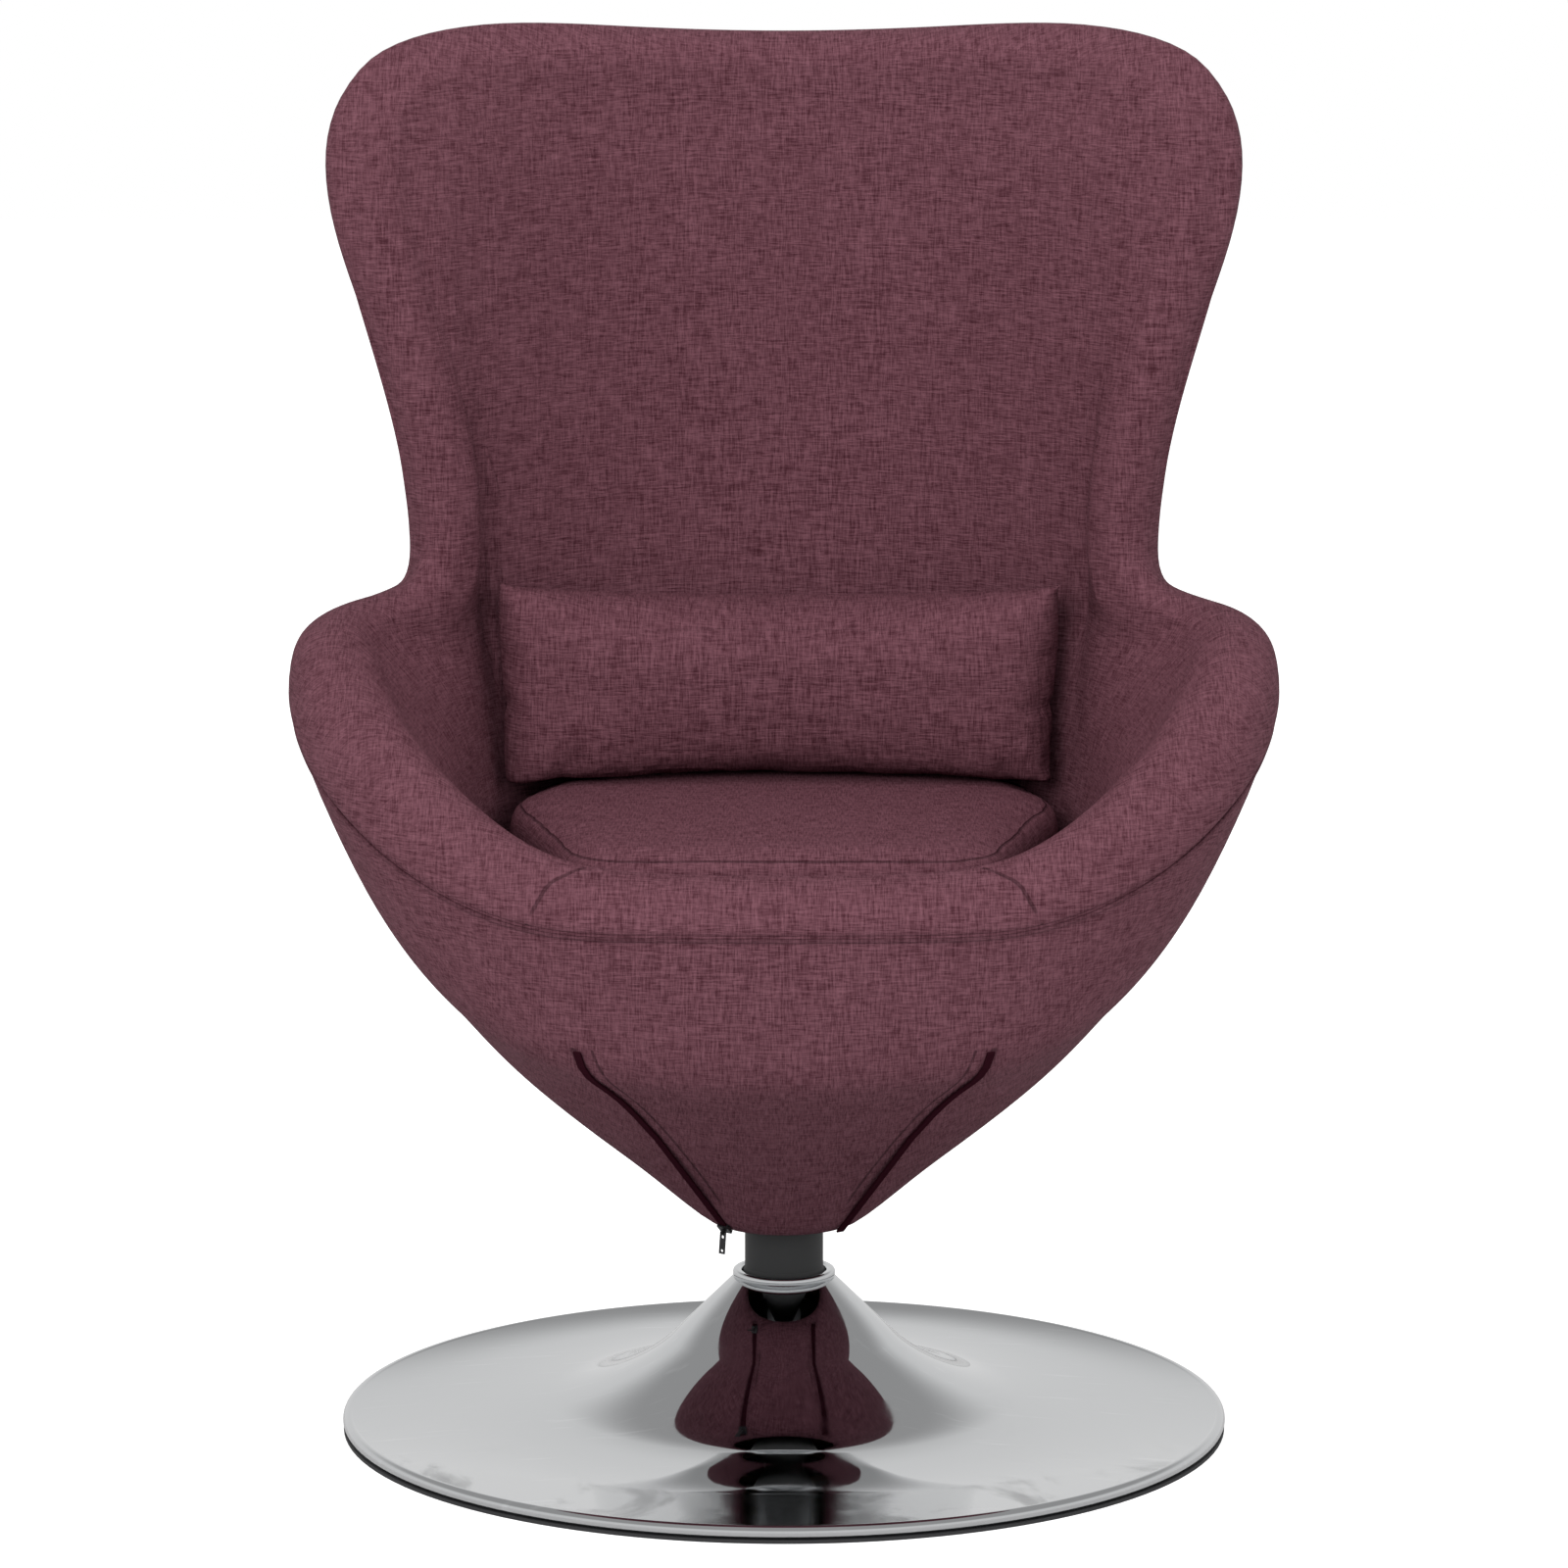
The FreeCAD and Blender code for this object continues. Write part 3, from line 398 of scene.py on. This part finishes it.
def cloth(name, dark, light, creases=(), belt=None):
    """Upholstery cloth; a crease is a sewn line between two points, a belt one at a height, with widths."""
    material, tree, shader = new_material(name, dark, 0.92)
    shader.inputs["Specular IOR Level"].default_value = 0.08
    threads = tree.nodes.new("ShaderNodeGroup")
    threads.node_tree = weave
    threads.inputs["Dark"].default_value = (*dark, 1)
    threads.inputs["Light"].default_value = (*light, 1)
    threads.inputs["Across"].default_value = 1 / thread_width
    threads.inputs["Along"].default_value = 1 / thread_length
    height = sums(tree, "MULTIPLY", threads.outputs["Height"], weave_depth)
    colour = threads.outputs["Color"]
    if creases or belt:
        spots = node(tree, "ShaderNodeTexCoord")
        line = None
        if belt:
            parts = node(tree, "ShaderNodeSeparateXYZ")
            link(tree, spots.outputs["Object"], parts.inputs[0])
            facing = node(tree, "ShaderNodeSeparateXYZ")
            link(tree, spots.outputs["Normal"], facing.inputs[0])
            level = sums(tree, "MULTIPLY", facing.outputs["Z"], facing.outputs["Z"])
            slope = sums(tree, "SQRT", sums(tree, "MAXIMUM", sums(tree, "SUBTRACT", 1.0, level), 0.04))
            rise = sums(tree, "ABSOLUTE", sums(tree, "SUBTRACT", parts.outputs["Z"], belt[0]))
            rise = sums(tree, "DIVIDE", rise, slope)
            line = groove(tree, rise, belt[1])
        for start, end, width in creases:
            along = Vector(end) - Vector(start)
            from_start = node(tree, "ShaderNodeVectorMath", operation="SUBTRACT")
            link(tree, spots.outputs["Object"], from_start.inputs[0])
            from_start.inputs[1].default_value = start
            reach = node(tree, "ShaderNodeVectorMath", operation="DOT_PRODUCT")
            link(tree, from_start.outputs[0], reach.inputs[0])
            reach.inputs[1].default_value = along / along.length_squared
            held = tree.nodes.new("ShaderNodeClamp")
            link(tree, reach.outputs["Value"], held.inputs["Value"])
            nearest = node(tree, "ShaderNodeVectorMath", operation="SCALE")
            nearest.inputs[0].default_value = along
            link(tree, held.outputs[0], nearest.inputs["Scale"])
            apart = node(tree, "ShaderNodeVectorMath", operation="DISTANCE")
            link(tree, from_start.outputs[0], apart.inputs[0])
            link(tree, nearest.outputs[0], apart.inputs[1])
            dip = groove(tree, apart.outputs["Value"], width)
            line = dip if line is None else sums(tree, "MAXIMUM", line, dip)
        height = sums(tree, "SUBTRACT", height, sums(tree, "MULTIPLY", line, seam_depth))
        # Painted shade in the sewn lines: their colour is drawn partway to a darker maroon, as shade in the
        # grooves.
        painted_seam_colour = node(tree, "ShaderNodeMix", data_type="RGBA")
        link(tree, sums(tree, "MULTIPLY", line, seam_painted_shade), painted_seam_colour.inputs["Factor"])
        link(tree, colour, painted_seam_colour.inputs["A"])
        painted_seam_colour.inputs["B"].default_value = (*[c * 0.3 for c in dark], 1)
        colour = painted_seam_colour.outputs["Result"]
    bump = node(tree, "ShaderNodeBump", Strength=1.0, Distance=1.0)
    link(tree, height, bump.inputs["Height"])
    link(tree, bump.outputs["Normal"], shader.inputs["Normal"])
    link(tree, colour, shader.inputs["Base Color"])
    return material


maroon_dark = (0.062, 0.018, 0.026)
maroon_light = (0.204, 0.086, 0.110)


def quads_of(name):
    """The CAD solid's own facets, joined into quads, as the cage of a soft piece."""
    bm = bmesh.new()
    bm.from_mesh(cad[name].data)
    bmesh.ops.remove_doubles(bm, verts=bm.verts, dist=0.00002)
    bmesh.ops.join_triangles(bm, faces=bm.faces, angle_face_threshold=math.pi,
                             angle_shape_threshold=math.pi, cmp_seam=False, cmp_sharp=False)
    return bm


arm_excess = 0.005
arm_inner, arm_blend = 0.15, 0.1
arm_top, arm_top_blend = 0.63, 0.03


def share_of(value):
    """A share held between nothing and the whole."""
    return min(1.0, max(0.0, value))


def held_in(place):
    """Takes back the few millimetres by which rounding widens the arms below their tops."""
    share = share_of((abs(place.x) - arm_inner) / arm_blend) * share_of((arm_top - place.z) / arm_top_blend)
    place.x -= math.copysign(arm_excess * share, place.x)


def subdivided(piece, levels):
    """Rounds a piece with a live subdivision, the same in the view and in renders."""
    smooth = piece.modifiers.new("rounded", "SUBSURF")
    smooth.levels = levels
    smooth.render_levels = levels


def rounded_piece(bm, name, material):
    """A piece whose subdivided surface passes through the corners of its cage."""
    for vert in bm.verts:
        held_in(vert.co)
    piece = finish_mesh(bm, name, material)
    subdivided(piece, 2)
    wanted = [v.co.copy() for v in piece.data.vertices]
    cage_turns = 3
    cage_step = 0.8
    for turn in range(cage_turns):
        drawn = piece.evaluated_get(bpy.context.evaluated_depsgraph_get()).data
        away = [place - drawn.vertices[i].co for i, place in enumerate(wanted)]
        for vertex, lack in zip(piece.data.vertices, away):
            vertex.co += lack * cage_step
        piece.data.update()
        bpy.context.view_layer.update()
    return piece


bm = quads_of("outer_cover")
cover = rounded_piece(bm, "outer_cover_cloth", chrome)


def sewn_runs(piece, run, width):
    """The two mirrored runs of a seam, laid on a piece, as creases."""
    found = []
    for side in (-1, 1):
        laid = [piece.closest_point_on_mesh((side * x, y, z))[1] for x, y, z in run]
        found += [(tuple(start), tuple(end), width) for start, end in zip(laid, laid[1:])]
    return found


stitch_run = [(0.0328, -0.0460, 0.165), (0.059, -0.110, 0.216), (0.0855, -0.1730, 0.2675),
              (0.105, -0.2165, 0.2995), (0.1294, -0.2619, 0.3302), (0.136, -0.275, 0.345),
              (0.1429, -0.2889, 0.3595)]
slit_run = [(0.0475, -0.040, 0.1650), (0.073, -0.101, 0.216), (0.1000, -0.1671, 0.2671),
            (0.1195, -0.2106, 0.2991), (0.1440, -0.2560, 0.3298), (0.151, -0.2695, 0.3445),
            (0.1575, -0.2830, 0.3591)]
# The stitch lines and the slits beside the zips are sunk in the bump and darkened with painted shade.
stitch_width = 0.0015
slit_width = 0.0034
cover_creases = sewn_runs(cover, stitch_run, stitch_width) + sewn_runs(cover, slit_run, slit_width)
cover.data.materials[0] = cloth("cover_cloth", maroon_dark, maroon_light, cover_creases)
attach(cover, "seat")
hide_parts("outer_cover")


# Inner lining: moulded foam under the same cloth, rolled over the rim of the shell and down to the deck. Its
# foam fills the hollow between back and wings, and the cloth is sewn at the corners of the lip, where the
# arms run into it.
fill_most = 0.046
fill_foot, fill_foot_blend = 0.62, 0.1
fill_head, fill_head_blend = 1.06, 0.06
fill_reach = 0.30
back_depth = 0.232
back_half = 0.262
wing_lead = 0.135
wing_power = 2.4
skin_limit = 0.262
bm = quads_of("inner_pad")
for vert in bm.verts:
    x, y, z = vert.co
    if z < fill_foot or abs(x) > fill_reach:
        continue
    height_share = share_of((z - fill_foot) / fill_foot_blend) * share_of((fill_head - z) / fill_head_blend)
    wall = back_depth - wing_lead * share_of(abs(x) / back_half) ** wing_power
    if wall < y < skin_limit and vert.normal.y < 0.45:
        vert.co.y -= min(fill_most, y - wall) * height_share
bm.normal_update()
wings = [v for v in bm.verts if v.co.z > 0.64 and v.normal.y < -0.35 and v.co.y < 0.25]
smooth_turns = 5
for turn in range(smooth_turns):
    bmesh.ops.smooth_vert(bm, verts=wings, factor=0.5, use_axis_x=True, use_axis_y=True, use_axis_z=True)
lining = rounded_piece(bm, "inner_lining", chrome)
lip_run = [(0.1475, -0.286, 0.4985), (0.161, -0.2985, 0.495), (0.170, -0.304, 0.492),
           (0.1755, -0.307, 0.487), (0.180, -0.311, 0.480), (0.1835, -0.311, 0.473), (0.189, -0.310, 0.462)]
# The lip seam is sunk in the bump and darkened with painted shade.
lip_seam_width = 0.0020
lip_creases = sewn_runs(lining, lip_run, lip_seam_width)
lining.data.materials[0] = cloth("lining_cloth", maroon_dark, maroon_light, lip_creases)
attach(lining, "seat")
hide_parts("inner_pad")


# Welt: a thin cord covered in the same cloth and sewn into the seam between cover and lining, all the way
# round the rim of the shell. Its cloth colours are darkened by a quarter, painted shade along the seam.
welt_radius = 0.0016
sharp_turn = 0.9
above_hem = 0.3
bm = quads_of("outer_cover")
bm.normal_update()
sharp = [e for e in bm.edges if len(e.link_faces) == 2 and e.calc_face_angle() > sharp_turn
         and min(v.co.z for v in e.verts) > above_hem]
loops = []
left = set(sharp)
for edge in sharp:
    if edge not in left:
        continue
    loop = [edge.verts[0]]
    while edge:
        left.discard(edge)
        loop.append(edge.other_vert(loop[-1]))
        edge = next((e for e in loop[-1].link_edges if e in left), None)
    loops.append([v.co.copy() for v in loop])
longest = max(loops, key=lambda row: sum((a - b).length for a, b in zip(row, row[1:])))
for place in longest:
    held_in(place)
bm.free()
line = bpy.data.curves.new("rim_welt", "CURVE")
line.dimensions = "3D"
line.bevel_depth = welt_radius
line.bevel_resolution = 3
line.resolution_u = 6
spline = line.splines.new("BEZIER")
spline.bezier_points.add(len(longest) - 2)
for point, place in zip(spline.bezier_points, longest):
    point.co = place
    point.handle_left_type = "AUTO"
    point.handle_right_type = "AUTO"
spline.use_cyclic_u = True
drawn = bpy.data.objects.new("rim_welt_line", line)
studio.collection.objects.link(drawn)
bpy.context.view_layer.update()
welt_data = bpy.data.meshes.new_from_object(drawn.evaluated_get(bpy.context.evaluated_depsgraph_get()))
bpy.data.objects.remove(drawn)
welt_data.shade_smooth()
welt_seam_shade_colours = [[c * 0.75 for c in shade] for shade in (maroon_dark, maroon_light)]
welt_data.materials.append(cloth("welt_cloth", *welt_seam_shade_colours))
welt = bpy.data.objects.new("rim_welt", welt_data)
studio.collection.objects.link(welt)
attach(welt, "seat")


# Zips: a row of nylon teeth on each side, and on the left the black lacquered slider with its pull, which
# hangs at the hem. The teeth are the CAD strips with a toothed finish.
teeth, tree, shader = new_material("zip_teeth_nylon", (0.03, 0.006, 0.011), 0.95)
shader.inputs["Specular IOR Level"].default_value = 0.0
spots = node(tree, "ShaderNodeTexCoord")
ribs = node(tree, "ShaderNodeTexWave", wave_type="BANDS", bands_direction="Z", Scale=420.0)
link(tree, spots.outputs["Object"], ribs.inputs["Vector"])
bump = node(tree, "ShaderNodeBump", Strength=0.8, Distance=0.0006)
link(tree, ribs.outputs["Fac"], bump.inputs["Height"])
link(tree, bump.outputs["Normal"], shader.inputs["Normal"])
# Painted shade: the teeth are coloured darker in the grooves between them, following the ribs of the bump.
teeth_gap_shade_mix = node(tree, "ShaderNodeMix", data_type="RGBA")
teeth_gap_shade_mix.inputs["A"].default_value = (0.016, 0.003, 0.006, 1)
teeth_gap_shade_mix.inputs["B"].default_value = (0.045, 0.010, 0.017, 1)
link(tree, ribs.outputs["Fac"], teeth_gap_shade_mix.inputs["Factor"])
link(tree, teeth_gap_shade_mix.outputs["Result"], shader.inputs["Base Color"])
dress(["zip_chain_left", "zip_chain_right"], teeth)
dress(["zip_slider", "zip_pull"], grained("zip_lacquer", (0.03, 0.03, 0.032), 0.35, 0.6, 900, 0.0001))


# Seat cushion: a box cushion of soft foam that lies loose on the deck, crowned on top, with a seam round the
# top edge of its boxing.
blow_pressure = 4.0
blow_frames = 20


def swollen(name, source, material, cell, inset, most):
    """A closed solid filled out as sewn fabric: shrunk a little, blown up as cloth, and held to a limit."""
    bm = bmesh.new()
    bm.from_mesh(cad[source].data)
    bmesh.ops.remove_doubles(bm, verts=bm.verts, dist=0.00002)
    piece = finish_mesh(bm, name, material)
    skin = piece.modifiers.new("skin", "REMESH")
    skin.mode = "VOXEL"
    skin.voxel_size = cell
    even = piece.modifiers.new("even", "SMOOTH")
    even.iterations = 2
    replace_mesh(piece)
    for vertex in piece.data.vertices:
        vertex.co -= vertex.normal * inset
    start = [v.co.copy() for v in piece.data.vertices]
    blow = piece.modifiers.new("blow", "CLOTH")
    blow.settings.use_pressure = True
    blow.settings.uniform_pressure_force = blow_pressure
    blow.settings.effector_weights.gravity = 0.0
    blow.settings.quality = 4
    for number in range(blow_frames):
        studio.frame_set(number + 1)
    replace_mesh(piece)
    studio.frame_set(1)
    for vertex, before in zip(piece.data.vertices, start):
        move = vertex.co - before
        if move.length > most:
            vertex.co = before + move.normalized() * most
    fit_to_box(piece, source)
    return piece


def fit_to_box(piece, source):
    """Draws a piece out to the box of the CAD solid it stands for."""
    low, high = [Vector(corner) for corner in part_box(source)]
    own_low = Vector([min(v.co[i] for v in piece.data.vertices) for i in range(3)])
    own_high = Vector([max(v.co[i] for v in piece.data.vertices) for i in range(3)])
    for vertex in piece.data.vertices:
        vertex.co = [low[i] + (vertex.co[i] - own_low[i]) * (high[i] - low[i]) / (own_high[i] - own_low[i])
                     for i in range(3)]


def replace_mesh(piece):
    """Applies a piece's modifiers to its mesh."""
    made = bpy.data.meshes.new_from_object(piece.evaluated_get(bpy.context.evaluated_depsgraph_get()))
    piece.modifiers.clear()
    piece.data = made
    made.shade_smooth()


# The top seam is sunk in the bump and darkened with painted shade.
top_seam_height = 0.4925
top_seam_width = 0.0016
cushion_cloth = cloth("cushion_cloth", maroon_dark, maroon_light, belt=(top_seam_height, top_seam_width))
cushion = swollen("seat_cushion_cloth", "seat_cushion", cushion_cloth, cell=0.007, inset=0.004, most=0.0055)
subdivided(cushion, 1)
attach(cushion, "cushion")
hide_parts("seat_cushion")


# Lumbar pillow: a loose fibre-filled pillow that lies on the back of the cushion and leans on the lining,
# with pinched corners, and with soft folds and tucks along its lower edge.
pillow_cloth = cloth("pillow_cloth", maroon_dark, maroon_light)
pillow = swollen("lumbar_pillow_cloth", "lumbar_pillow", pillow_cloth, cell=0.005, inset=0.005, most=0.007)
low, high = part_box("lumbar_pillow")
pillow_middle = -0.002
pillow_half = 0.22
belly_out, belly_top = 0.075, 0.5
sag, sag_top = 0.16, 0.35
corner_peak, middle_dip, peak_foot = 0.006, 0.004, 0.8
fold_depth, fold_top = 0.004, 0.75
tuck_most, tuck_reach = 0.006, 0.007
tucks = [(-0.166, 0.523, -0.190, 0.482), (0.174, 0.514, 0.195, 0.482), (0.158, 0.500, 0.166, 0.482),
         (-0.100, 0.502, -0.108, 0.482), (0.060, 0.500, 0.066, 0.482)]


def tuck_depth(x, z):
    """How far the cloth is drawn in near the tucks, each given by its upper and lower end."""
    depth = 0.0
    for x_top, z_top, x_low, z_low in tucks:
        along = Vector((x_low - x_top, z_low - z_top))
        reach = Vector((x - x_top, z - z_top)).dot(along) / along.length_squared
        nearest = Vector((x_top, z_top)) + along * share_of(reach)
        apart = (Vector((x, z)) - nearest).length
        depth = max(depth, tuck_most * math.exp(-(apart / tuck_reach) ** 2))
    return depth


for vertex in pillow.data.vertices:
    place = vertex.co
    rise = (place.z - low[2]) / (high[2] - low[2])
    across = (place.x - pillow_middle) / pillow_half
    if vertex.normal.y < 0.35:
        vertex.co.y -= belly_out * max(0.0, belly_top - rise) ** 1.3 * (1 - 0.5 * abs(across) ** 3)
    if rise < sag_top:
        vertex.co.z -= (rise * (sag_top - rise)) * sag
    if rise > peak_foot:
        vertex.co.z += corner_peak * abs(across) ** 4 - middle_dip * (1 - across * across)
    if vertex.normal.y < 0:
        vertex.co.y += tuck_depth(place.x, place.z)
    fold = noise.noise(Vector((place.x * 26.0, place.y * 6.0, place.z * 7.0)))
    vertex.co += vertex.normal * (fold * fold_depth * max(0.0, fold_top - rise))
subdivided(pillow, 1)
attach(pillow, "pillow")
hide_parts("lumbar_pillow")


studio.frame_set(1)
